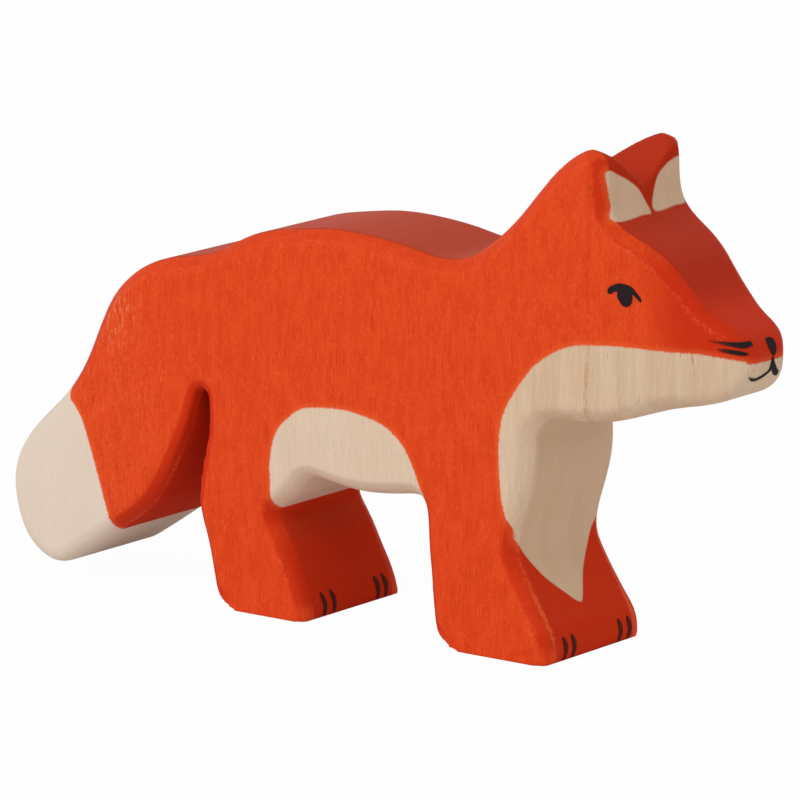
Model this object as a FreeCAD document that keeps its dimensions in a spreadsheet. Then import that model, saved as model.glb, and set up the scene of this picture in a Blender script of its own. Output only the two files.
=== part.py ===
"""A wooden fox, sawn from one board and painted by hand. Millimetres, +Z up, nose towards +X.

The origin is on the floor, under the middle of the figure's box.
"""

import FreeCAD
import Part
import Sketcher
import math
import os

V = FreeCAD.Vector

# Driving sizes in millimetres. Each one is a cell of the sheet, under its own name.
SIZES = [
    ("length", 134.0),  # tail to nose
    ("height", 77.6),  # floor to ear tips
    ("board_at_feet", 25.0),  # board's thickness at the soles
    ("board_at_ears", 21.6),  # the flanks lean in a little towards the top
    ("rim_radius", 2.1),  # both rims of the side outline are sanded round
    ("cheek_length", 33.0),  # from the nose back to where the snout starts to narrow
    ("cheek_width", 27.0),  # width the narrowing starts from
    ("ear_notch_depth", 6.6),
    ("ear_notch_width", 17.4),
    ("ear_notch_radius", 1.2),
    ("heel_radius", 6.5),  # back lower corner of each foot
    ("toe_radius", 0.6),  # front lower corner of the front feet
    ("ear_tip_radius", 2.8),
    ("eye_width", 5.0),
    ("whisker_length", 5.3),
    ("whisker_stop_right", 3.4),  # from the figure's middle to the front ends of the whiskers
    ("whisker_stop_left", 6.5),  # the left ones don't reach round to the snout's front
    ("nose_height", 2.75),  # height of the painted nose
    ("nose_y", 1.1),  # the nose is painted a little to the left of the figure's middle
    ("mouth_width", 7.6),
    ("toe_mark_height", 3.6),
    ("toe_mark_z", 0.25),  # lower end of the toe marks
    ("paint_film", 0.12),  # thickness of the dried black paint
    ("overrun", 6.0),  # how far the board and the cutting shapes run past the finished wood
]

# Side outline. Each stretch is one smooth saw cut, and it ends in a corner. A point is a share
# of the length, counted from the middle, and a share of the height, counted from the floor.
TAIL_FRONT_SHARES = [
    (-0.2358, 0.318), (-0.2470, 0.286), (-0.2680, 0.230), (-0.2985, 0.169),
    (-0.335, 0.123), (-0.378, 0.074), (-0.410, 0.040),
]
TAIL_AND_BACK_SHARES = [
    (-0.410, 0.040), (-0.432, 0.029), (-0.457, 0.043), (-0.480, 0.078), (-0.495, 0.130),
    (-0.500, 0.189), (-0.491, 0.248), (-0.464, 0.308), (-0.422, 0.377), (-0.394, 0.445),
    (-0.373, 0.522), (-0.350, 0.593), (-0.313, 0.648), (-0.268, 0.678), (-0.222, 0.693),
    (-0.188, 0.716), (-0.149, 0.748), (-0.102, 0.766), (-0.043, 0.779), (0.013, 0.777),
    (0.065, 0.766), (0.111, 0.753), (0.146, 0.761), (0.179, 0.794), (0.217, 0.854),
    (0.254, 0.928), (0.283, 0.974), (0.304, 0.995), (0.328, 1.008),
]
FACE_AND_CHEST_SHARES = [
    (0.328, 1.008), (0.334, 0.972), (0.335, 0.935), (0.337, 0.900), (0.343, 0.873),
    (0.356, 0.853), (0.379, 0.831), (0.4055, 0.798), (0.4315, 0.746), (0.458, 0.702),
    (0.480, 0.680), (0.494, 0.658), (0.500, 0.629), (0.495, 0.589), (0.481, 0.557),
    (0.454, 0.536), (0.428, 0.526), (0.406, 0.518), (0.375, 0.501), (0.344, 0.486),
    (0.300, 0.478), (0.266, 0.472), (0.2515, 0.461), (0.2445, 0.440), (0.244, 0.412),
    (0.2435, 0.380), (0.239, 0.335), (0.230, 0.283), (0.222, 0.235), (0.221, 0.206),
    (0.228, 0.175), (0.243, 0.131), (0.258, 0.088), (0.269, 0.054), (0.272, 0.020),
    (0.270, -0.030), (0.266, -0.080),
]
LEGS_AND_BELLY_SHARES = [
    (0.124, -0.080), (0.121, -0.030), (0.1142, 0.035), (0.1075, 0.092), (0.1028, 0.148),
    (0.0990, 0.205), (0.0968, 0.254), (0.0905, 0.2815), (0.069, 0.284), (0.039, 0.277),
    (0.005, 0.274), (-0.028, 0.279), (-0.053, 0.286), (-0.067, 0.285), (-0.078, 0.266),
    (-0.091, 0.240), (-0.106, 0.222), (-0.113, 0.205), (-0.108, 0.183), (-0.095, 0.147),
    (-0.083, 0.102), (-0.072, 0.059), (-0.065, 0.020), (-0.060, -0.030), (-0.057, -0.080),
]
HIND_LEG_BACK_SHARES = [
    (-0.178, -0.080), (-0.186, -0.030), (-0.195, 0.025), (-0.204, 0.079), (-0.213, 0.128),
    (-0.2225, 0.176), (-0.2275, 0.225), (-0.2285, 0.281), (-0.2283, 0.318),
]
LEG_GAP_TOP_SHARE = (-0.2321, 0.3280)

# The narrow saw cut that carries on up between tail and hind legs, in the same shares.
SAW_CUT_TAIL_SHARES = [
    (-0.2955, 0.160), (-0.2915, 0.174), (-0.2805, 0.205), (-0.2710, 0.230), (-0.2540, 0.286),
    (-0.2384, 0.345), (-0.2255, 0.414),
]
SAW_CUT_LEG_SHARES = [
    (-0.2085, 0.414), (-0.2085, 0.345), (-0.2150, 0.281), (-0.2215, 0.225), (-0.2285, 0.176),
]
SAW_CUT_TOP_SHARE = (-0.2168, 0.4290)

# Where the painted marks stand on the head, in the same shares of length and height: the back
# corner of the eyes, the back end of the upper whiskers, and by height alone the lower end of
# the nose and the upper end of the mouth's stem.
EYE_PLACE_SHARE = (0.3451, 0.7397)
WHISKER_PLACE_SHARE = (0.4567, 0.6585)
NOSE_FOOT_SHARE = 0.6244
MOUTH_TOP_SHARE = 0.6237

# Painted marks. Each list is one smooth edge of a mark, the next one carries on where it ends.
# Eyes: shares of the eye's width, from its back corner. Lid, its front tip, pupil, back corner.
EYE_SHARES = [
    [(0.00, 0.00), (0.03, 0.12), (0.15, 0.20), (0.30, 0.26), (0.45, 0.26), (0.60, 0.23),
     (0.75, 0.15), (0.87, 0.01), (0.99, -0.16), (0.98, -0.25)],
    [(0.98, -0.25), (0.90, -0.16), (0.81, -0.08), (0.72, 0.00)],
    [(0.72, 0.00), (0.73, -0.15), (0.70, -0.30), (0.58, -0.40), (0.46, -0.38), (0.37, -0.27),
     (0.30, -0.15), (0.30, 0.00)],
    [(0.30, 0.00), (0.24, 0.03), (0.15, -0.02), (0.03, -0.06), (0.00, 0.00)],
]
# Whiskers: shares of the upper whisker's length, from its back end.
WHISKER_UPPER_SHARES = [
    [(0.00, 0.03), (0.28, 0.05), (0.59, 0.05), (0.83, 0.05), (0.96, 0.03), (1.00, -0.04)],
    [(1.00, -0.04), (0.97, -0.10), (0.85, -0.10), (0.69, -0.07), (0.48, -0.04), (0.25, 0.00),
     (0.00, 0.03)],
]
WHISKER_LOWER_SHARES = [
    [(0.25, -0.18), (0.48, -0.15), (0.70, -0.17), (0.89, -0.21), (1.00, -0.27)],
    [(1.00, -0.27), (0.96, -0.31), (0.83, -0.30), (0.65, -0.27), (0.43, -0.24), (0.25, -0.18)],
]
# Nose: shares of its height, from its lower end.
NOSE_SHARES = [
    [(0.00, 0.00), (-0.12, 0.13), (-0.27, 0.36), (-0.35, 0.60), (-0.37, 0.84), (-0.33, 0.97)],
    [(-0.33, 0.97), (-0.02, 1.00), (0.22, 0.92), (0.34, 0.66), (0.29, 0.36), (0.13, 0.11),
     (0.00, 0.00)],
]
# Mouth: shares of its width, from the stem's upper end. Stem and right half, underside of the
# right half, underside of the left half, its outer end, left half and stem.
MOUTH_SHARES = [
    [(-0.05, 0.00), (-0.07, -0.14), (-0.10, -0.25), (-0.22, -0.31), (-0.38, -0.355),
     (-0.55, -0.345), (-0.71, -0.30)],
    [(-0.71, -0.30), (-0.50, -0.415), (-0.37, -0.41), (-0.21, -0.375), (-0.07, -0.31),
     (0.015, -0.24)],
    [(0.015, -0.24), (0.07, -0.325), (0.17, -0.395), (0.27, -0.43)],
    [(0.27, -0.43), (0.30, -0.39), (0.28, -0.33)],
    [(0.28, -0.33), (0.17, -0.25), (0.09, -0.165), (0.02, -0.075), (0.00, 0.00)],
    [(0.00, 0.00), (-0.05, 0.00)],
]
# Toes: shares of a stroke's height, from its foot.
TOE_MARK_SHARES = [
    [(0.00, 1.00), (0.17, 0.86), (0.27, 0.60), (0.25, 0.35), (0.11, 0.12), (-0.08, 0.00)],
    [(-0.08, 0.00), (0.00, 0.25), (0.03, 0.50), (-0.02, 0.80), (0.00, 1.00)],
]
# Where the strokes stand on each foot, as shares of half the board from the figure's middle.
TOE_MARK_PLACES_SHARES = {
    "toe_marks_front_right": (-0.628, -0.456),
    "toe_marks_front_left": (0.488, 0.672),
    "toe_marks_rear_right": (-0.596, -0.408),
    "toe_marks_rear_left": (0.468, 0.628),
}

# How far the ends of a rounding arc stand clear of the wood, as a share of its radius.
CLEARANCE_SHARE = 0.04

# Ends of curves this close together, in millimetres, are one corner.
TIE_TOLERANCE = 0.00001

# The snout seen from above, from the nose to where it meets the flanks. A point is a share of
# the cheek length back from the nose, and a share of half the cheek width.
SNOUT_SHARES = [
    (-0.033, 0.118), (-0.009, 0.235), (0.018, 0.338), (0.051, 0.415), (0.129, 0.486),
    (0.264, 0.572), (0.430, 0.686), (0.610, 0.801), (0.790, 0.896), (0.971, 0.999),
]

doc = FreeCAD.newDocument("fox_figurine")
sheet = doc.addObject("Spreadsheet::Sheet", "Sizes")
for row, (name, value) in enumerate(SIZES, start=1):
    sheet.set(f"A{row}", name)
    sheet.set(f"B{row}", str(value))
    sheet.setAlias(f"B{row}", name)
doc.recompute()


def size(name):
    """The value of one of the sheet's cells."""
    return float(sheet.get(name))


def side_point(share):
    """A point of the side outline, from its shares of length and height."""
    return V(share[0] * size("length"), share[1] * size("height"), 0)


def smooth(points):
    """A smooth curve through the points."""
    curve = Part.BSplineCurve()
    curve.interpolate(points)
    return curve


def lines(points):
    """Straight lines from point to point."""
    return [Part.LineSegment(a, b) for a, b in zip(points, points[1:])]


def add_sketch(body, name, role):
    """A sketch of the body on one of its own origin planes."""
    sketch = body.newObject("Sketcher::SketchObject", name)
    plane = next(p for p in body.Origin.OriginFeatures if p.Role == role)
    sketch.AttachmentSupport = (plane, [""])
    sketch.MapMode = "FlatFace"
    return sketch


def tie(sketch, first, second):
    """Ties two curves of a sketch together where an end of one lies on an end of the other."""
    for end in (1, 2):
        for start in (1, 2):
            if sketch.getPoint(first, end).isEqual(sketch.getPoint(second, start), TIE_TOLERANCE):
                sketch.addConstraint(Sketcher.Constraint("Coincident", first, end, second, start))
                return


def add_loop(sketch, curves):
    """Adds curves to a sketch as one closed loop."""
    first = sketch.GeometryCount
    for curve in curves:
        sketch.addGeometry(curve, False)
    for index in range(first, sketch.GeometryCount - 1):
        tie(sketch, index, index + 1)
    tie(sketch, sketch.GeometryCount - 1, first)


def add_pocket(body, name, sketch):
    """A cut along the sketch's normal, through everything on both sides of it."""
    pocket = body.newObject("PartDesign::Pocket", name)
    pocket.Profile = sketch
    pocket.Type = "ThroughAll"
    pocket.SideType = "Symmetric"
    doc.recompute()
    return pocket


# The carved wood: a board sawn to the side outline, then thinned and sanded round.
wood = doc.addObject("PartDesign::Body", "carved_figure")
side_outline = add_sketch(wood, "side_outline", "XZ_Plane")
tail_front = [side_point(share) for share in TAIL_FRONT_SHARES]
tail_and_back = [side_point(share) for share in TAIL_AND_BACK_SHARES]
face_and_chest = [side_point(share) for share in FACE_AND_CHEST_SHARES]
legs_and_belly = [side_point(share) for share in LEGS_AND_BELLY_SHARES]
hind_leg_back = [side_point(share) for share in HIND_LEG_BACK_SHARES]
add_loop(side_outline, [
    smooth(tail_front),
    smooth(tail_and_back),
    smooth(face_and_chest),
    Part.LineSegment(face_and_chest[-1], legs_and_belly[0]),
    smooth(legs_and_belly),
    Part.LineSegment(legs_and_belly[-1], hind_leg_back[0]),
    smooth(hind_leg_back),
    Part.Arc(hind_leg_back[-1], side_point(LEG_GAP_TOP_SHARE), tail_front[0]),
])
doc.recompute()
board = wood.newObject("PartDesign::Pad", "board")
board.Profile = side_outline
board.setExpression("Length", "Sizes.board_at_feet + Sizes.overrun")
board.SideType = "Symmetric"
doc.recompute()

# The flanks lean in. Both faces are planed off in one cut, each by a wedge seen from the front.
half_feet = size("board_at_feet") / 2
lean = (size("board_at_feet") - size("board_at_ears")) / 2 / size("height")
below = -2 * size("overrun")
above = size("height") + size("overrun")
outside = size("board_at_feet")
flank_planes = add_sketch(wood, "flank_planes", "YZ_Plane")
for side in (-1, 1):
    corners = [
        V(side * (half_feet - lean * below), below, 0),
        V(side * outside, below, 0),
        V(side * outside, above, 0),
        V(side * (half_feet - lean * above), above, 0),
    ]
    add_loop(flank_planes, lines(corners + corners[:1]))
doc.recompute()
add_pocket(wood, "planed_flanks", flank_planes)

# The snout narrows towards the nose. It is cut from above, one side after the other.
nose = size("length") / 2
snout_plan = add_sketch(wood, "snout_plan", "XY_Plane")
for side in (-1, 1):
    plan = [
        V(nose - back * size("cheek_length"), side * half * size("cheek_width") / 2, 0)
        for back, half in SNOUT_SHARES
    ]
    ahead = V(nose + size("overrun"), plan[0].y, 0)
    corner = V(ahead.x, side * outside, 0)
    behind = V(plan[-1].x, side * outside, 0)
    add_loop(snout_plan, [smooth(plan)] + lines([plan[-1], behind, corner, ahead, plan[0]]))
doc.recompute()
snout = add_pocket(wood, "snout_sides", snout_plan)


def is_flank(face):
    """True for a flank of the board and for a side of the snout."""
    first_u, last_u, first_v, last_v = face.ParameterRange
    normal = face.normalAt((first_u + last_u) / 2, (first_v + last_v) / 2)
    return abs(normal.y) > max(abs(normal.x), abs(normal.z)) / 2


def rim_edges(shape):
    """Names of the edges above the legs' cut-off ends where a flank meets the sawn outline."""
    names = []
    for number, edge in enumerate(shape.Edges, start=1):
        flanks = [is_flank(face) for face in shape.ancestorsOfType(edge, Part.Face)]
        if any(flanks) and not all(flanks) and edge.BoundBox.ZMax > 0:
            names.append(f"Edge{number}")
    return names


# Both rims of the outline are sanded round.
rims = wood.newObject("PartDesign::Fillet", "sanded_rims")
rims.Base = (snout, rim_edges(snout.Shape))
rims.setExpression("Radius", "Sizes.rim_radius")
doc.recompute()

# The tail is parted from the hind legs by a saw cut, too narrow to sand.
saw_cut = add_sketch(wood, "saw_cut", "XZ_Plane")
tail_side = [side_point(share) for share in SAW_CUT_TAIL_SHARES]
leg_side = [side_point(share) for share in SAW_CUT_LEG_SHARES]
add_loop(saw_cut, [
    smooth(tail_side),
    Part.Arc(tail_side[-1], side_point(SAW_CUT_TOP_SHARE), leg_side[0]),
    smooth(leg_side),
    Part.LineSegment(leg_side[-1], tail_side[0]),
])
doc.recompute()
add_pocket(wood, "parted_tail", saw_cut)

# The legs end at the floor.
ends = add_sketch(wood, "leg_ends", "XZ_Plane")
reach = size("length")
corners = [V(-reach, 0, 0), V(reach, 0, 0), V(reach, below, 0), V(-reach, below, 0)]
add_loop(ends, lines(corners + corners[:1]))
doc.recompute()
add_pocket(wood, "trimmed_legs", ends)


def rounded(before, corner, after, radius):
    """Start, middle and end of the arc that rounds the corner of a path through three points."""
    back = (before - corner).normalize()
    on = (after - corner).normalize()
    half_angle = back.getAngle(on) / 2
    reach_along = radius / math.tan(half_angle)
    inwards = (back + on).normalize()
    middle = corner + inwards * (radius / math.sin(half_angle) - radius)
    return corner + back * reach_along, middle, corner + on * reach_along


def add_rounding(sketch, before, corner, after, radius):
    """A loop that takes a corner off along an arc. Its ends stand a little clear of the wood."""
    start, middle, end = rounded(before, corner, after, radius)
    outwards = (corner - middle).normalize()
    clear = outwards * radius * CLEARANCE_SHARE
    beyond = corner + outwards * size("overrun")
    add_loop(sketch, [
        Part.Arc(start + clear, middle, end + clear),
        Part.LineSegment(end + clear, beyond),
        Part.LineSegment(beyond, start + clear),
    ])


def on_floor(points):
    """Where a path through the points crosses the floor, and the next point above it."""
    for low, high in zip(points, points[1:]):
        if low.y <= 0 < high.y:
            return low + (high - low) * (-low.y / (high.y - low.y)), high


rounding = add_sketch(wood, "corner_rounding", "XZ_Plane")
forwards = V(1, 0, 0)
for path in (hind_leg_back, legs_and_belly):
    heel, above_heel = on_floor(path)
    add_rounding(rounding, above_heel, heel, heel + forwards, size("heel_radius"))
toe, above_toe = on_floor(face_and_chest[::-1])
add_rounding(rounding, above_toe, toe, toe - forwards, size("toe_radius"))
tip = face_and_chest[0]
add_rounding(rounding, tail_and_back[-2], tip, face_and_chest[1], size("ear_tip_radius"))
doc.recompute()
add_pocket(wood, "rounded_corners", rounding)

# A V notch along the head parts the ears.
notch = add_sketch(wood, "ear_notch", "YZ_Plane")
half_notch = size("ear_notch_width") / 2
bottom = V(0, size("height") - size("ear_notch_depth"), 0)
left_wall = V(-half_notch, size("ear_notch_depth"), 0)
right_wall = V(half_notch, size("ear_notch_depth"), 0)
start, middle, end = rounded(
    bottom + left_wall, bottom, bottom + right_wall, size("ear_notch_radius")
)
add_loop(notch, [
    Part.LineSegment(bottom + left_wall * 2, start),
    Part.Arc(start, middle, end),
    Part.LineSegment(end, bottom + right_wall * 2),
    Part.LineSegment(bottom + right_wall * 2, bottom + left_wall * 2),
])
doc.recompute()
add_pocket(wood, "parted_ears", notch)

# Dried paint. A mark is a prism through the wood's surface. What it shares with a copy of the
# figure moved out by the film's thickness, less the figure itself, is the film.
FROM_THE_SIDE = FreeCAD.Rotation(V(1, 0, 0), 90)
FROM_THE_FRONT = FreeCAD.Rotation(V(1, 1, 1), 120)


def add_moved_figure(name, sideways):
    """A copy of the figure, moved forwards and, if wanted, to one side by a film's thickness."""
    copy = doc.addObject("Part::Compound", name)
    copy.Links = [wood]
    copy.setExpression("Placement.Base.x", "Sizes.paint_film")
    copy.setExpression("Placement.Base.y", f"{sideways} * Sizes.paint_film")
    return copy


def mark_curves(edges, origin, scale):
    """The smooth edges of a mark, from shares of its scale."""
    return [smooth([origin + V(a, b, 0) * scale for a, b in edge]) for edge in edges]


def add_film(name, loops, rotation, start, length, backwards, moved_figure):
    """A painted mark: its prism starts at a place in the wood and runs out through the surface."""
    sketch = doc.addObject("Sketcher::SketchObject", f"{name}_outline")
    sketch.Placement = FreeCAD.Placement(start, rotation)
    for curves in loops:
        add_loop(sketch, curves)
    prism = doc.addObject("Part::Extrusion", f"{name}_prism")
    prism.Base = sketch
    prism.DirMode = "Normal"
    prism.Solid = True
    prism.Reversed = backwards
    prism.setExpression("LengthFwd", length)
    raised = doc.addObject("Part::Common", f"{name}_raised")
    raised.Base = prism
    raised.Tool = moved_figure
    film = doc.addObject("Part::Cut", name)
    film.Base = raised
    film.Tool = wood
    return film


films = []
ahead_figure = add_moved_figure("figure_moved_ahead", 0)
for side, word in ((-1, "right"), (1, "left")):
    moved = add_moved_figure(f"figure_moved_{word}", side)
    stop = size(f"whisker_stop_{word}")
    eye = side_point(EYE_PLACE_SHARE)
    whisker = side_point(WHISKER_PLACE_SHARE)
    side_marks = [
        (f"eye_{word}", EYE_SHARES, eye, size("eye_width")),
        (f"whisker_upper_{word}", WHISKER_UPPER_SHARES, whisker, size("whisker_length")),
        (f"whisker_lower_{word}", WHISKER_LOWER_SHARES, whisker, size("whisker_length")),
    ]
    for name, edges, origin, scale in side_marks:
        loop = mark_curves(edges, origin, scale)
        films.append(add_film(
            name, [loop], FROM_THE_SIDE, V(0, side * stop, 0), "Sizes.board_at_feet / 2",
            side > 0, moved,
        ))

snout_middle = V(size("length") / 2 - size("overrun"), 0, 0)
nose_foot = V(size("nose_y"), NOSE_FOOT_SHARE * size("height"), 0)
mouth_top = V(size("nose_y"), MOUTH_TOP_SHARE * size("height"), 0)
nose_curves = mark_curves(NOSE_SHARES, nose_foot, size("nose_height"))
mouth_curves = mark_curves(MOUTH_SHARES, mouth_top, size("mouth_width"))
for name, curves in (("nose_mark", nose_curves), ("mouth_line", mouth_curves)):
    films.append(add_film(
        name, [curves], FROM_THE_FRONT, snout_middle, "2 * Sizes.overrun", False, ahead_figure,
    ))

for name, places in TOE_MARK_PLACES_SHARES.items():
    instep = face_and_chest[-1] if "front" in name else legs_and_belly[-1]
    strokes = [
        mark_curves(TOE_MARK_SHARES, V(place * half_feet, size("toe_mark_z"), 0),
                    size("toe_mark_height"))
        for place in places
    ]
    films.append(add_film(
        name, strokes, FROM_THE_FRONT, V(instep.x - size("overrun"), 0, 0), "2 * Sizes.overrun",
        False, ahead_figure,
    ))
doc.recompute()

# Nothing is written unless every step and every piece is sound.
for item in doc.Objects:
    if "Invalid" in item.State or "Error" in item.State:
        raise RuntimeError(f"{item.Label} could not be worked out: {item.State}")
pieces = [wood] + films
for piece in pieces:
    if piece.Shape.isNull() or not piece.Shape.isValid():
        raise RuntimeError(f"{piece.Label} has no sound shape")
os.makedirs("parts", exist_ok=True)
for piece in pieces:
    piece.Shape.exportStep(f"parts/{piece.Label}.step")
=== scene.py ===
# %% [markdown]
# A wooden fox, sawn from a board, stained orange and finished with a fine black brush.
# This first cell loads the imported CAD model. It is the fixed frame: every piece that is made
# here is in metres and sits where the CAD says.

# %% The frame
import math

import bpy
import numpy as np
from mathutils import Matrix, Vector
from mathutils.kdtree import KDTree


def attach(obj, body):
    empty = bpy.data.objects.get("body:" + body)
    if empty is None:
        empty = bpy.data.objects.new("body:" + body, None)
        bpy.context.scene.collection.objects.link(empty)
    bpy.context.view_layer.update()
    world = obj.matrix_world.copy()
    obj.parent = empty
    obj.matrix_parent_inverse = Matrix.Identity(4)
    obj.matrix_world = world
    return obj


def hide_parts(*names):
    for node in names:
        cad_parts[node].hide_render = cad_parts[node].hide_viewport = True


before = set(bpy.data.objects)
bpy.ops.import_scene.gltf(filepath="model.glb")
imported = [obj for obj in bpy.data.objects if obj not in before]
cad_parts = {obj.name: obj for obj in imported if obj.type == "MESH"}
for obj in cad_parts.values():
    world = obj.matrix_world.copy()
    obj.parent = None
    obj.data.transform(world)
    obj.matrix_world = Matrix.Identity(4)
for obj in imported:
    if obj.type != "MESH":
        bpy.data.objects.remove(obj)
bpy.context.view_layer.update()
MM = 0.001

# %% [markdown]
# The camera stands where the photographer's stood: ahead of the fox on its right, a little
# above it, far away with a long lens, so that the two flanks stay almost parallel.

# %% Camera
VIEW_AZIMUTH = math.radians(37.08)
VIEW_ELEVATION = math.radians(12.145)
VIEW_DISTANCE = 1052.5 * MM
VIEW_TARGET = Vector((0.25, 0.0, 33.51)) * MM
LENS, SENSOR = 315.0, 36.0
NEAREST_SEEN = 10 * MM


def direction(azimuth, elevation):
    """From the fox towards a place around it. Azimuth 0 is straight off its right flank."""
    flat = math.cos(elevation)
    return Vector((math.sin(azimuth) * flat, -math.cos(azimuth) * flat, math.sin(elevation)))


def deselect_all():
    """Leaves nothing selected and no object active."""
    if bpy.context.object and bpy.context.object.mode != "OBJECT":
        bpy.ops.object.mode_set(mode="OBJECT")
    bpy.ops.object.select_all(action="DESELECT")


deselect_all()
towards_camera = direction(VIEW_AZIMUTH, VIEW_ELEVATION)
bpy.ops.object.camera_add(
    location=VIEW_TARGET + towards_camera * VIEW_DISTANCE,
    rotation=towards_camera.to_track_quat("Z", "Y").to_euler(),
)
camera = bpy.context.object
camera.name = "view_camera"
camera.data.lens = LENS
camera.data.sensor_width = SENSOR
camera.data.clip_start = NEAREST_SEEN
bpy.context.scene.camera = camera
print("camera at mm:", [round(c / MM) for c in camera.location])

# %% [markdown]
# The wood. The CAD solid already has the sawn outline, the leaning flanks and the sanded rims,
# but its mesh is long loose triangles, and hand sanding leaves no corner perfectly crisp. So a
# copy is merged, turned into an even mesh with a voxel remesh and smoothed a little. The even
# mesh has a second use: it can carry the borders of the paint, as numbers on its points.

# %% Carved wood
VOXEL = 0.52 * MM
MERGED_WITHIN = 0.002 * MM
SOFTENING, SOFTENING_PASSES = 0.5, 3


def copy_of_node(node, name):
    """A merged copy of a CAD node's mesh, selected and active. The node itself stays as it is."""
    deselect_all()
    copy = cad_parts[node].copy()
    copy.data = copy.data.copy()
    copy.name = name
    copy.parent = None
    for key in list(copy.keys()):
        del copy[key]
    bpy.context.collection.objects.link(copy)
    copy.select_set(True)
    bpy.context.view_layer.objects.active = copy
    copy.data.materials.clear()
    bpy.ops.object.mode_set(mode="EDIT")
    bpy.ops.mesh.select_all(action="SELECT")
    bpy.ops.mesh.remove_doubles(threshold=MERGED_WITHIN)
    bpy.ops.object.mode_set(mode="OBJECT")
    bpy.ops.mesh.customdata_custom_splitnormals_clear()
    return copy


def apply_modifier(piece, kind, settings):
    """Adds a modifier with its settings and applies it at once."""
    modifier = piece.modifiers.new(kind.lower(), kind)
    for key, value in settings.items():
        setattr(modifier, key, value)
    bpy.ops.object.modifier_apply(modifier=modifier.name)


wood = copy_of_node("carved_figure", "fox_wood")
apply_modifier(wood, "REMESH", {"mode": "VOXEL", "voxel_size": VOXEL})
apply_modifier(wood, "SMOOTH", {"factor": SOFTENING, "iterations": SOFTENING_PASSES})
bpy.ops.object.shade_smooth()
print("wood triangles:", sum(len(p.vertices) - 2 for p in wood.data.polygons))

# %% [markdown]
# The rims. They were sanded by hand against a belt, so each one is a slightly crowned facet with
# a line at either side, not a perfect quarter circle. For each point of the mesh two distances
# are measured: how far it lies in from the flank, and how far it is from the sawn outline as seen
# from the side. Together they tell how far the rim has turned there, from the flank to the sawn
# face. The points on a rim are then pushed in towards the facet, less and less towards the soles
# and the nose, which the belt hardly touched. The turn is kept on the mesh, and so is how far a
# point faces up, because the stain looks different on flank, rim, sawn face and back. Last, the
# brow and the muzzle are rounded a little more than the rest.

# %% Sanded rims
RIM = 2.1
FACET_SHARE = 0.7
BOARD_AT_FEET, BOARD_AT_EARS, EARS = 25.0, 21.6, 77.6
SNOUT_FROM, SLICE = 38.0, 0.5
SAWN_BELOW = 0.15
LEAST = 0.001
HALFWAY = math.pi / 4
SOLE_EDGE, SOLE_FREE = 0.5, 12.0
NOSE_FREE, NOSE_EDGE = 55.0, 60.0
BROW_FROM, BROW_FULL = 44.0, 50.0
BROW_PASSES, BROW_LEVELS = 7, 8
UPWARDS, FULLY_UP = 0.35, 0.75


def point_places(piece):
    """The piece's points in millimetres, one row each."""
    flat = np.empty(len(piece.data.vertices) * 3)
    piece.data.vertices.foreach_get("co", flat)
    return flat.reshape(-1, 3) / MM


def point_normals(piece):
    """The directions that the piece's points face, one row each."""
    flat = np.empty(len(piece.data.vertices) * 3, np.float32)
    piece.data.vertex_normals.foreach_get("vector", flat)
    return flat.reshape(-1, 3)


def store(piece, name, values):
    """Keeps one number for each point of the piece, for its material to read."""
    attribute = piece.data.attributes.new(name, "FLOAT", "POINT")
    attribute.data.foreach_set("value", values.astype(np.float32))


def smooth_step(values, low, high):
    """0 up to low, 1 from high, and a soft step between."""
    t = np.clip((values - low) / (high - low), 0, 1)
    return t * t * (3 - 2 * t)


def widest_in_slices(places):
    """Half the width of each slice of the snout, from its start to its tip."""
    slices = ((places[:, 0] - SNOUT_FROM) / SLICE).astype(int)
    ahead = places[:, 0] > SNOUT_FROM
    widest = np.zeros(slices[ahead].max() + 1)
    np.maximum.at(widest, slices[ahead], np.abs(places[ahead, 1]))
    return SNOUT_FROM + (np.arange(len(widest)) + 0.5) * SLICE, widest


def distance_from_outline(places, sawn):
    """How far each place is, seen from the side, from the nearest point of a sawn face."""
    tree = KDTree(int(sawn.sum()))
    for index, (along, _, height) in enumerate(places[sawn]):
        tree.insert((along, 0, height), index)
    tree.balance()
    return np.array([tree.find((along, 0, height))[2] for along, _, height in places])


places = point_places(wood)
faces = point_normals(wood)
lean = (BOARD_AT_EARS - BOARD_AT_FEET) / EARS
board_half = (BOARD_AT_FEET + lean * places[:, 2]) / 2
half = np.minimum(board_half, np.interp(places[:, 0], *widest_in_slices(places)))
inwards = np.clip(half - np.abs(places[:, 1]), 0, RIM)
outline_gap = np.clip(distance_from_outline(places, np.abs(faces[:, 1]) < SAWN_BELOW), 0, RIM)
turn = np.arctan2(np.maximum(1 - outline_gap / RIM, LEAST), 1 - inwards / RIM)
across = turn / (math.pi / 2)
in_plane = faces[:, [0, 2]]
in_plane = in_plane / np.maximum(np.linalg.norm(in_plane, axis=1), SAWN_BELOW)[:, None]
sanded = smooth_step(places[:, 2], SOLE_EDGE, SOLE_FREE)
sanded *= 1 - smooth_step(places[:, 0], NOSE_FREE, NOSE_EDGE)
pushed = RIM * (np.cos(turn - HALFWAY) - math.cos(HALFWAY)) * FACET_SHARE * sanded
bisector = np.stack([in_plane[:, 0], np.sign(places[:, 1]), in_plane[:, 1]], 1) / math.sqrt(2)
places -= bisector * pushed[:, None]
wood.data.vertices.foreach_set("co", (places * MM).ravel())
wood.data.update()
store(wood, "across_rim", across)
store(wood, "facing_up", smooth_step(in_plane[:, 1], UPWARDS, FULLY_UP))
print("deepest facet in mm:", round(float(pushed.max()), 2))

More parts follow.
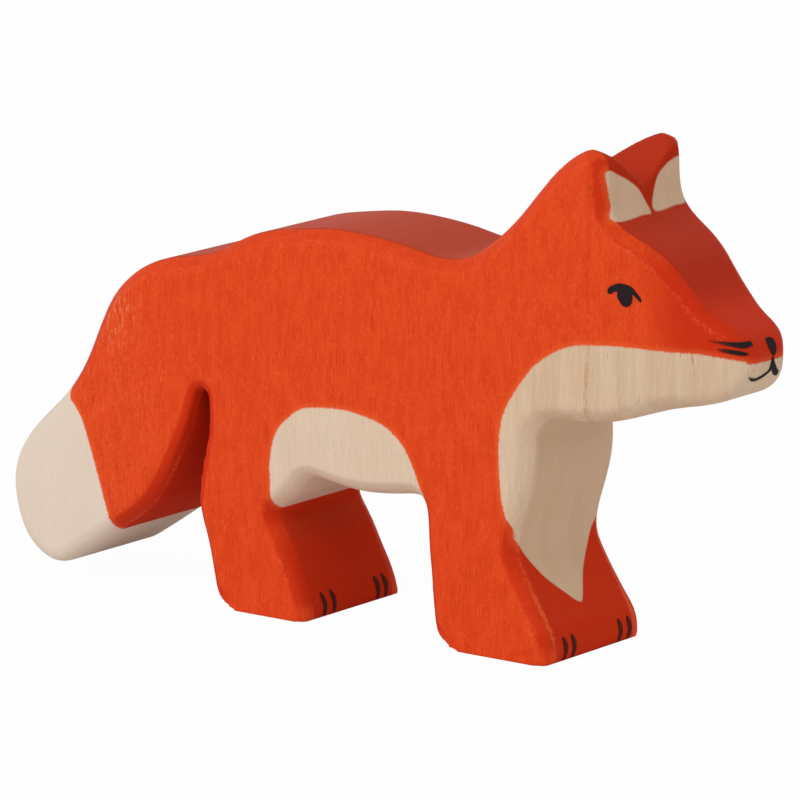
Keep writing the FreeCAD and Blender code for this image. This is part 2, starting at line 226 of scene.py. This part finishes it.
softness = smooth_step(places[:, 0], BROW_FROM, BROW_FULL)
softness *= 1 - smooth_step(places[:, 0], NOSE_FREE, NOSE_EDGE)
levels = np.round(softness * BROW_LEVELS).astype(int)
brow = wood.vertex_groups.new(name="brow")
for level in range(1, BROW_LEVELS + 1):
    brow.add(np.flatnonzero(levels == level).tolist(), level / BROW_LEVELS, "REPLACE")
apply_modifier(
    wood, "SMOOTH", {"factor": SOFTENING, "iterations": BROW_PASSES, "vertex_group": "brow"}
)
wood.vertex_groups.clear()

# %% [markdown]
# The stain covers the fox except for the tip of the tail, the belly, the chest with the cheeks,
# and the fronts of the ears. Each bare patch is drawn as an outline in millimetres, seen from
# the side or from the front. Every point of the mesh stores how far inside a patch it lies, and
# the material turns that distance into a border that it can roughen like a brush stroke.

# %% Borders of the bare patches
TAIL_TIP = [
    (-58.5, 33.6), (-55.0, 29.5), (-52.3, 26.2), (-50.4, 21.6), (-48.1, 15.6), (-46.4, 10.4),
    (-46.1, 9.2), (-45.7, 7.8), (-45.0, 5.0), (-53.0, -4.0), (-66.0, -6.0), (-80.0, 10.0),
    (-74.0, 34.0),
]
BELLY = [
    (-15.1, 17.3), (-15.2, 20.6), (-15.3, 24.4), (-14.2, 28.6), (-11.3, 31.7), (-8.8, 33.1),
    (-5.2, 33.6), (-0.5, 33.7), (3.8, 33.0), (7.3, 31.7), (9.9, 29.5), (11.7, 26.5),
    (13.1, 23.4), (13.3, 22.6), (11.6, 19.6), (0.0, 16.8), (-10.0, 16.3), (-14.0, 16.4),
]
CHEST = [
    (29.3, 18.6), (28.7, 21.3), (27.9, 24.3), (27.4, 28.3), (27.3, 32.5), (28.0, 36.7),
    (30.1, 40.6), (33.4, 44.8), (37.8, 47.7), (41.2, 48.9), (44.8, 49.3), (49.4, 49.4),
    (55.1, 49.2), (59.6, 49.2), (63.0, 48.9), (66.0, 48.5), (68.0, 47.9), (84.0, 47.0),
    (84.0, -2.0), (50.0, -8.0), (28.0, -4.0), (28.6, 8.0),
]
CHEST_FROM_THE_FRONT = [
    (-16.0, 30.0), (-12.6, 21.4), (-11.3, 18.6), (-9.8, 17.2), (-7.7, 14.3), (-5.9, 11.8),
    (-3.1, 9.3), (-0.7, 7.5), (0.6, 8.2), (3.3, 11.4), (7.0, 14.6), (9.1, 17.2), (10.4, 18.8),
    (12.6, 21.4), (16.0, 30.0), (20.0, 60.0), (-20.0, 60.0),
]
NEAR_EAR = [
    (-9.1, 74.6), (-6.6, 73.7), (-3.7, 72.3), (-1.4, 70.6), (-0.2, 67.6), (-2.5, 67.4),
    (-9.0, 67.4), (-8.9, 69.5), (-9.0, 71.6),
]
FAR_EAR = [
    (9.2, 74.1), (6.6, 74.0), (4.8, 73.3), (3.2, 72.2), (1.9, 70.1), (0.7, 67.9),
    (1.6, 67.4), (5.9, 67.6), (8.9, 67.8), (9.0, 70.4),
]
EAR_FRONTS_FROM = 42.4
CURVE_STEPS = 6


def smooth_outline(points):
    """The closed outline as a fine chain of points on a smooth curve through the given ones."""
    p = np.array(points)
    before, after, further = np.roll(p, 1, 0), np.roll(p, -1, 0), np.roll(p, -2, 0)
    chain = []
    for step in range(CURVE_STEPS):
        t = step / CURVE_STEPS
        chain.append(0.5 * (
            2 * p + (after - before) * t
            + (2 * before - 5 * p + 4 * after - further) * t ** 2
            + (3 * p - before - 3 * after + further) * t ** 3
        ))
    return np.stack(chain, 1).reshape(-1, 2)


def depth_inside(places, points):
    """How far each place lies inside the outline, in millimetres. It is negative outside."""
    outline = smooth_outline(points)
    nearest = np.full(len(places), np.inf)
    inside = np.zeros(len(places), bool)
    for a, b in zip(outline, np.roll(outline, -1, 0)):
        along = b - a
        share = np.clip((places - a) @ along / (along @ along), 0, 1)
        nearest = np.minimum(nearest, np.linalg.norm(places - a - share[:, None] * along, axis=1))
        if a[1] != b[1]:
            crosses = (places[:, 1] >= min(a[1], b[1])) & (places[:, 1] < max(a[1], b[1]))
            at = a[0] + (places[:, 1] - a[1]) * along[0] / along[1]
            inside ^= crosses & (places[:, 0] < at)
    return np.where(inside, nearest, -nearest)


side, front = places[:, [0, 2]], places[:, [1, 2]]
ear_fronts = places[:, 0] - EAR_FRONTS_FROM
bare = np.max([
    depth_inside(side, TAIL_TIP),
    depth_inside(side, BELLY),
    np.minimum(depth_inside(side, CHEST), depth_inside(front, CHEST_FROM_THE_FRONT)),
    np.minimum(depth_inside(front, NEAR_EAR), ear_fronts),
    np.minimum(depth_inside(front, FAR_EAR), ear_fronts),
], axis=0)
store(wood, "bare_depth", bare)
print("share of points that stay bare:", round(float((bare > 0).mean()), 3))

# %% [markdown]
# Shader maths reads best as plain sums, so a small class stands for one output of a node and
# turns + - * / into Math nodes. Every other node comes from one method that takes its type, its
# settings and what its sockets get.

# %% Helpers for materials
MIX_SHARE, MIX_FIRST, MIX_SECOND, MIX_COLOUR = 0, 6, 7, 2
WHITE = (1.0, 1.0, 1.0, 1.0)


class Signal:
    """One output socket of a finish's node tree."""

    def __init__(self, finish, socket):
        self.finish = finish
        self.socket = socket

    def math(self, operation, first, second):
        return self.finish.node(
            "ShaderNodeMath", {"operation": operation}, {0: first, 1: second}, 0
        )

    def __add__(self, other):
        return self.math("ADD", self, other)

    def __radd__(self, other):
        return self.math("ADD", other, self)

    def __sub__(self, other):
        return self.math("SUBTRACT", self, other)

    def __rsub__(self, other):
        return self.math("SUBTRACT", other, self)

    def __mul__(self, other):
        return self.math("MULTIPLY", self, other)

    def __rmul__(self, other):
        return self.math("MULTIPLY", other, self)

    def __truediv__(self, other):
        return self.math("DIVIDE", self, other)

    def __rtruediv__(self, other):
        return self.math("DIVIDE", other, self)


class Finish:
    """The node tree of a material or of the world, under construction."""

    def __init__(self, owner):
        owner.use_nodes = True
        self.owner = owner
        self.tree = owner.node_tree
        self.tree.nodes.clear()

    def node(self, kind, settings, sockets, output=None):
        """Adds a node, sets it up, fills its sockets and returns the output that is asked for."""
        node = self.tree.nodes.new(kind)
        for key, value in settings.items():
            setattr(node, key, value)
        for key, value in sockets.items():
            if isinstance(value, Signal):
                self.tree.links.new(value.socket, node.inputs[key])
            else:
                node.inputs[key].default_value = value
        return None if output is None else Signal(self, node.outputs[output])


def srgb(red, green, blue):
    """A colour as it is seen on a screen, from 0 to 255, as the numbers that Blender uses."""
    linear = []
    for channel in (red, green, blue):
        c = channel / 255
        linear.append(c / 12.92 if c <= 0.04045 else ((c + 0.055) / 1.055) ** 2.4)
    return (*linear, 1.0)


def grain(finish, place, across_it, along_it, detail, roughness):
    """Cloudy numbers around one half. The two scales are in bumps per millimetre."""
    drawn_out = finish.node(
        "ShaderNodeMapping", {"vector_type": "POINT"},
        {"Vector": place, "Scale": (across_it, across_it, along_it)}, "Vector",
    )
    return finish.node(
        "ShaderNodeTexNoise", {"noise_dimensions": "3D"},
        {"Vector": drawn_out, "Scale": 1.0, "Detail": detail, "Roughness": roughness}, "Fac",
    )


def place_in_mm(finish):
    """Object coordinates in millimetres."""
    metres = finish.node("ShaderNodeTexCoord", {}, {}, "Object")
    return finish.node(
        "ShaderNodeVectorMath", {"operation": "SCALE"}, {0: metres, "Scale": 1 / MM}, "Vector"
    )


def part_of(finish, place, axis):
    """How far along one axis a place lies."""
    return finish.node("ShaderNodeSeparateXYZ", {}, {"Vector": place}, axis)


def ramp(finish, value, start, full):
    """A smooth step: 0 where the value is at the start or short of it, 1 where it is full."""
    return finish.node(
        "ShaderNodeMapRange", {"interpolation_type": "SMOOTHSTEP", "clamp": True},
        {"Value": value, "From Min": start, "From Max": full}, "Result",
    )


def blend(finish, share, first, second):
    """A colour between two colours."""
    return finish.node(
        "ShaderNodeMix", {"data_type": "RGBA", "blend_type": "MIX", "clamp_factor": True},
        {MIX_SHARE: share, MIX_FIRST: first, MIX_SECOND: second}, MIX_COLOUR,
    )


def layered(finish, colour, signals, layers):
    """Lays one colour after another over the first, each where its signal is strong."""
    for name, start, full, strength, over in layers:
        share = ramp(finish, signals[name], start, full) * strength
        colour = blend(finish, share, colour, srgb(*over))
    return colour


print("material helpers are ready")

# %% [markdown]
# Stained wood. Under the colour is a pale close-grained wood whose grain stands upright, with
# fine pores, short dark ticks and one faint brown streak under the eye. The stain is thin: it
# soaks deeper into the sawn ends and the rims, thins out towards the bare patches, bleeds into
# them along a few pores, and is rubbed through on the tail and at the feet. The darker red of the
# sawn faces and of the muzzle is partly that deeper stain and partly painted shade, for the lamp
# light that they turn away from. The sawn faces that face up behind the head are painted lighter
# and warmer as painted sheen. A lighter line runs along the start of the rims in places.
# All patterns are worked out in millimetres of Object coordinates, stretched along the grain.
# The two lists of layers read from the bottom up: the name of a pattern, where it starts and
# where it is full, its strength, and the colour as it is seen on a screen. The spans say between
# which two values a measure turns from nothing to its full effect.

# %% Wood and stain
PATTERNS = {
    "bands": (0.22, 0.010, 3.0, 0.5),
    "fibres": (2.9, 0.24, 5.0, 0.65),
    "pores": (6.0, 0.90, 2.0, 0.6),
    "ticks": (2.6, 0.30, 2.0, 0.5),
    "scuffs": (2.4, 0.9, 5.0, 0.7),
    "flecks": (2.6, 1.6, 2.0, 0.5),
    "clouds": (0.09, 0.09, 3.0, 0.5),
    "strokes": (0.70, 0.22, 4.0, 0.6),
    "bristles": (4.2, 2.0, 3.0, 0.6),
}
PALE_WOOD = [
    ("forwards", -40.0, -8.0, 1.00, (221, 197, 173)),
    ("bands", 0.42, 0.62, 0.30, (214, 188, 162)),
    ("forwards", 14.0, 32.0, 1.00, (215, 187, 159)),
    ("throat_bands", 0.00, 1.00, 0.75, (205, 173, 142)),
    ("fibres", 0.50, 0.80, 0.50, (196, 168, 140)),
    ("fibres", 0.50, 0.25, 0.35, (234, 214, 190)),
    ("pores", 0.62, 0.80, 0.30, (182, 150, 122)),
    ("ticks", 0.66, 0.76, 0.35, (158, 124, 98)),
    ("streak", 0.00, 1.00, 0.60, (190, 132, 82)),
    ("sawn_throat", 0.00, 1.00, 0.60, (209, 175, 144)),
    ("bleeding", 0.00, 1.00, 0.50, (176, 84, 52)),
    ("tail_end", 0.00, 1.00, 0.70, (225, 208, 191)),
]
STAIN = [
    ("strokes", 0.38, 0.62, 0.60, (213, 61, 16)),
    ("fibres", 0.50, 0.76, 0.60, (194, 46, 8)),
    ("flecks", 0.54, 0.74, 0.40, (238, 100, 48)),
    ("tail_flecks", 0.00, 1.00, 0.20, (236, 116, 68)),
    ("pores", 0.56, 0.74, 0.50, (180, 40, 8)),
    ("streak", 0.00, 1.00, 0.25, (172, 44, 14)),
    # Muzzle: the sanded snout takes the stain deeper, and the darker tone is also painted shade
    # on the snout's sides, which turn away from the lamp.
    ("muzzle", 0.00, 1.00, 0.85, (196, 40, 4)),
    ("rim", 0.00, 1.00, 0.80, (200, 41, 5)),
    # Sawn faces: the stain soaks deeper here, and the colour is darker still as painted shade on
    # faces that turn away from the lamp.
    ("sawn", 0.00, 1.00, 0.90, (178, 42, 12)),
    ("sawn_low", 0.00, 1.00, 0.80, (206, 50, 15)),
    # Painted sheen: the sawn faces that face up behind the head are painted lighter and warmer,
    # as a grazing reflection would show.
    ("sheen_on_top", 0.00, 1.00, 0.60, (186, 64, 24)),
    ("sawn_flecks", 0.00, 1.00, 0.35, (206, 78, 42)),
    # A lighter line along the start of the rims, in places.
    ("light_rim_onset", 0.00, 1.00, 0.24, (238, 112, 62)),
    ("rubbed_feet", 0.00, 1.00, 0.55, (232, 108, 58)),
    ("rubbed_tail", 0.00, 1.00, 0.55, (240, 142, 96)),
    ("halo", 0.00, 1.00, 0.35, (232, 98, 46)),
]
SPANS = {
    # Shares of a rim's turn, from the flank at 0 to the sawn face at 1.
    "onset_begins": (0.01, 0.16), "onset_ends": (0.42, 0.18),
    "inner_begins": (0.60, 0.80), "inner_ends": (1.0, 0.92),
    "rim": (0.05, 0.30), "sawn": (0.90, 0.99),
    # Millimetres ahead of the fox's middle.
    "behind_nose": (62.0, 56.0), "muzzle": (48.0, 60.0), "snout": (52.0, 58.0),
    "throat": (14.0, 30.0), "under_head": (20.0, 34.0), "front_legs": (15.0, 20.0),
    "behind_head": (30.0, 20.0), "by_tail": (-28.0, -33.0), "tail": (-24.0, -46.0),
    "tail_end": (-38.0, -44.0),
    # Millimetres above the floor.
    "off_sole": (0.5, 4.0), "foot": (25.0, 17.0), "by_saw_cut": (26.0, 20.0), "low": (34.0, 26.0),
    # Values of a pattern.
    "in_places": (0.42, 0.60), "sawn_scuffs": (0.54, 0.72), "streak_scuffs": (0.35, 0.60),
    "rub_scuffs": (0.40, 0.56), "rub_ticks": (0.48, 0.60), "tail_scuffs": (0.44, 0.66),
    "onset_flecks": (0.40, 0.62), "onset_clouds": (-0.05, 0.15), "throat_bands": (0.42, 0.60),
    "bleeding_ticks": (0.60, 0.66),
    # Millimetres inside a bare patch.
    "border": (-0.18, 0.18), "halo": (-1.2, -0.1), "bleeding": (2.6, 0.4),
}
THIN_STAIN = (226, 72, 24)
TAIL_WOOD = (226, 210, 192)
STREAK_AT, STREAK_REACH = 42.8, 0.45
TAIL_RUB, TAIL_RUB_REACH = (-46.0, -12.0, 43.0), 9.0
RIM_WOBBLE, SAWN_WOBBLE = 0.10, 0.6
STREAK_WANDER, STREAK_WAVER = 1.5, 0.8
WANDER = 8.0
PATCHINESS, ONSET_STROKES, SAW_CUT_RUB = 0.8, 0.5, 0.6
BRISTLE_REACH, BORDER_WANDER, CALM_ON_SAWN = 0.6, 0.5, 0.8
RIM_LOST_ON_BACK = 0.75
BUMP_STRENGTH, BUMP_HEIGHT, FIBRE_BUMP, PORE_BUMP = 0.25, 0.06 * MM, 0.6, 0.4
MATT, FIBRE_MATT, SAWN_MATT = 0.6, 0.15, 0.35
GLOSS = 0.10


def over_span(name, value):
    """A smooth step of the wood's material over one of the spans."""
    return ramp(finish, value, *SPANS[name])


finish = Finish(bpy.data.materials.new("stained_wood"))
place = place_in_mm(finish)
signals = {name: grain(finish, place, *numbers) for name, numbers in PATTERNS.items()}
clouds, fibres, strokes = (signals[name] - 0.5 for name in ("clouds", "fibres", "strokes"))
bare_depth, across, facing_up = (
    finish.node("ShaderNodeAttribute", {"attribute_name": name}, {}, "Fac")
    for name in ("bare_depth", "across_rim", "facing_up")
)
forwards, upwards = (part_of(finish, place, axis) for axis in "XZ")

wandering = forwards + clouds * WANDER
wobble = fibres * RIM_WOBBLE + clouds * RIM_WOBBLE
scuffs, flecks, ticks = (signals[name] for name in ("scuffs", "flecks", "ticks"))
sawn = over_span("sawn", across + wobble * SAWN_WOBBLE) * over_span("behind_nose", forwards)
streak = forwards - STREAK_AT + clouds * STREAK_WANDER + strokes * STREAK_WAVER
onset = over_span("onset_begins", across) * over_span("onset_ends", across)
inner = over_span("inner_begins", across) * over_span("inner_ends", across)
front_foot = over_span("foot", upwards + clouds * WANDER) * over_span("front_legs", forwards)
off_sole = over_span("off_sole", upwards)
by_saw_cut = over_span("by_tail", forwards) * over_span("by_saw_cut", upwards)
in_places = over_span("in_places", scuffs + clouds * PATCHINESS)
from_rub = finish.node(
    "ShaderNodeVectorMath", {"operation": "DISTANCE"}, {0: place, 1: TAIL_RUB}, "Value"
)
bristles = (signals["bristles"] - 0.5) * BRISTLE_REACH + clouds * BORDER_WANDER
border = bare_depth + bristles * (1.0 - sawn * CALM_ON_SAWN)
signals.update({
    "forwards": wandering,
    # Mask for the muzzle's deeper stain and painted shade.
    "muzzle": over_span("muzzle", wandering),
    "rim": over_span("rim", across + wobble) * (1.0 - facing_up * RIM_LOST_ON_BACK) * off_sole,
    "sawn": sawn,
    # Mask for the painted sheen on the upward sawn faces behind the head.
    "sheen_on_top": sawn * facing_up * over_span("behind_head", forwards),
    "sawn_low": sawn * over_span("low", upwards),
    "sawn_flecks": sawn * over_span("sawn_scuffs", scuffs),
    "streak": ramp(finish, streak * streak, STREAK_REACH ** 2, 0.0)
    * over_span("streak_scuffs", scuffs),
    "light_rim_onset": onset * off_sole * in_places * over_span("onset_flecks", flecks)
    * over_span("onset_clouds", clouds + strokes * ONSET_STROKES),
    "rubbed_feet": inner * (front_foot + by_saw_cut * SAW_CUT_RUB) * off_sole * in_places,
    "rubbed_tail": ramp(finish, from_rub, TAIL_RUB_REACH, 0.0)
    * over_span("rub_ticks", ticks) * over_span("rub_scuffs", scuffs),
    "tail_flecks": over_span("tail", forwards) * over_span("tail_scuffs", scuffs),
    "throat_bands": over_span("throat_bands", signals["bands"])
    * over_span("under_head", forwards),
    "sawn_throat": sawn * over_span("throat", forwards),
    "tail_end": over_span("tail_end", forwards),
    "halo": over_span("halo", border) * (1.0 - sawn),
    "bleeding": over_span("bleeding_ticks", ticks) * over_span("bleeding", border)
    * over_span("snout", forwards),
})

pale = layered(finish, srgb(*TAIL_WOOD), signals, PALE_WOOD)
stain = layered(finish, srgb(*THIN_STAIN), signals, STAIN)
colour = blend(finish, over_span("border", border), stain, pale)
bump = finish.node(
    "ShaderNodeBump", {},
    {"Strength": BUMP_STRENGTH, "Distance": BUMP_HEIGHT,
     "Height": fibres * FIBRE_BUMP + signals["pores"] * PORE_BUMP}, "Normal",
)
shader = finish.node(
    "ShaderNodeBsdfPrincipled", {},
    {"Base Color": colour, "Normal": bump, "Specular IOR Level": GLOSS,
     "Roughness": MATT + fibres * FIBRE_MATT + sawn * (1.0 - facing_up) * SAWN_MATT}, "BSDF",
)
finish.node("ShaderNodeOutputMaterial", {}, {"Surface": shader})
wood.data.materials.append(finish.owner)
print("nodes in the wood:", len(finish.tree.nodes))

# %% [markdown]
# Black paint, put on with a fine brush. The CAD films already have the shapes of the marks. The
# paint is thinner on the toes and at the far ends of the whiskers, where the brush was lifted, so
# the stain below makes it brown there.

# %% Black marks
BLACK, THIN_BLACK, STAIN_SHOWING = (36, 27, 29), (98, 26, 14), (160, 40, 12)
TOES_BELOW, TOES_FULL = 14.0, 9.0
TOE_PATCHES = (0.2, 0.6)
WHISKER_START, WHISKER_FULL = 61.0, 65.0
WHISKERS_FROM, WHISKERS_CLEAR = 57.0, 58.0
PATCHY = (1.5, 0.8, 2.0, 0.5)
THINNING = 0.7
PAINT_MATT, PATCHY_MATT, PAINT_GLOSS = 0.6, 0.2, 0.08

paint = Finish(bpy.data.materials.new("black_paint"))
place = place_in_mm(paint)
forwards, upwards = (part_of(paint, place, axis) for axis in "XZ")
patchy = grain(paint, place, *PATCHY)
on_toes = ramp(paint, upwards, TOES_BELOW, TOES_FULL) * ramp(paint, patchy, *TOE_PATCHES)
on_ends = ramp(paint, forwards, WHISKER_FULL, WHISKER_START) * ramp(
    paint, forwards, WHISKERS_FROM, WHISKERS_CLEAR
)
colour = blend(paint, on_toes * THINNING, srgb(*BLACK), srgb(*THIN_BLACK))
colour = blend(paint, on_ends * THINNING, colour, srgb(*STAIN_SHOWING))
shader = paint.node(
    "ShaderNodeBsdfPrincipled", {},
    {"Base Color": colour, "Roughness": PAINT_MATT + patchy * PATCHY_MATT,
     "Specular IOR Level": PAINT_GLOSS}, "BSDF",
)
paint.node("ShaderNodeOutputMaterial", {}, {"Surface": shader})
for name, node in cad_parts.items():
    if name != "carved_figure":
        node.data.materials.clear()
        node.data.materials.append(paint.owner)
print("painted marks:", len(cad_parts) - 1)

# %% [markdown]
# A photographer's table: a pale floor and a white background, a large soft lamp on the left of
# the camera, a weaker and larger one ahead of the fox, and dim light from everywhere else. Rays
# that come from the camera, straight or by way of a mirror or glass, see plain white.

# %% Floor, background and lamps
FLOOR_SIZE = 4.0
FLOOR_WHITE_SHARE = 0.97
SKY = 0.56
CLOTH = (240, 238, 235)
# Azimuth and elevation in degrees, distance and size in metres, power in watts.
LAMPS = {
    "key_lamp": (-15, 35, 0.9, 0.5, 3.45),
    "front_lamp": (85, 12, 1.0, 0.9, 1.7),
}


def seen(finish):
    """1 for a ray that shows the scene to the camera, 0 for one that only carries light."""
    camera, glossy, through = (
        finish.node("ShaderNodeLightPath", {}, {}, kind)
        for kind in ("Is Camera Ray", "Is Glossy Ray", "Is Transmission Ray")
    )
    return camera + glossy + through


def lamp(name, azimuth, elevation, distance, size, power):
    """A square soft lamp that looks at the fox."""
    towards = direction(math.radians(azimuth), math.radians(elevation))
    bpy.ops.object.light_add(
        type="AREA", location=VIEW_TARGET + towards * distance,
        rotation=towards.to_track_quat("Z", "Y").to_euler(),
    )
    light = bpy.context.object
    light.name = name
    light.data.size = size
    light.data.energy = power


deselect_all()
bpy.ops.mesh.primitive_plane_add(size=FLOOR_SIZE, location=(0, 0, 0))
floor = bpy.context.object
floor.name = "studio_floor"
table = Finish(bpy.data.materials.new("studio_floor"))
cloth = table.node("ShaderNodeBsdfDiffuse", {}, {"Color": srgb(*CLOTH)}, "BSDF")
white = table.node("ShaderNodeEmission", {}, {"Color": WHITE, "Strength": 1.0}, "Emission")
either = table.node(
    "ShaderNodeMixShader", {}, {0: seen(table) * FLOOR_WHITE_SHARE, 1: cloth, 2: white}, "Shader"
)
table.node("ShaderNodeOutputMaterial", {}, {"Surface": either})
floor.data.materials.append(table.owner)

studio = Finish(bpy.data.worlds.new("studio"))
bpy.context.scene.world = studio.owner
dim, bright = (
    studio.node(
        "ShaderNodeBackground", {}, {"Color": WHITE, "Strength": strength}, "Background"
    )
    for strength in (SKY, 1.0)
)
either = studio.node("ShaderNodeMixShader", {}, {0: seen(studio), 1: dim, 2: bright}, "Shader")
studio.node("ShaderNodeOutputWorld", {}, {"Surface": either})

for name, numbers in LAMPS.items():
    lamp(name, *numbers)
bpy.context.scene.view_settings.view_transform = "Standard"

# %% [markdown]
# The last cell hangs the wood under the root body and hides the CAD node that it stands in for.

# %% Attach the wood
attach(wood, "root")
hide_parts("carved_figure")
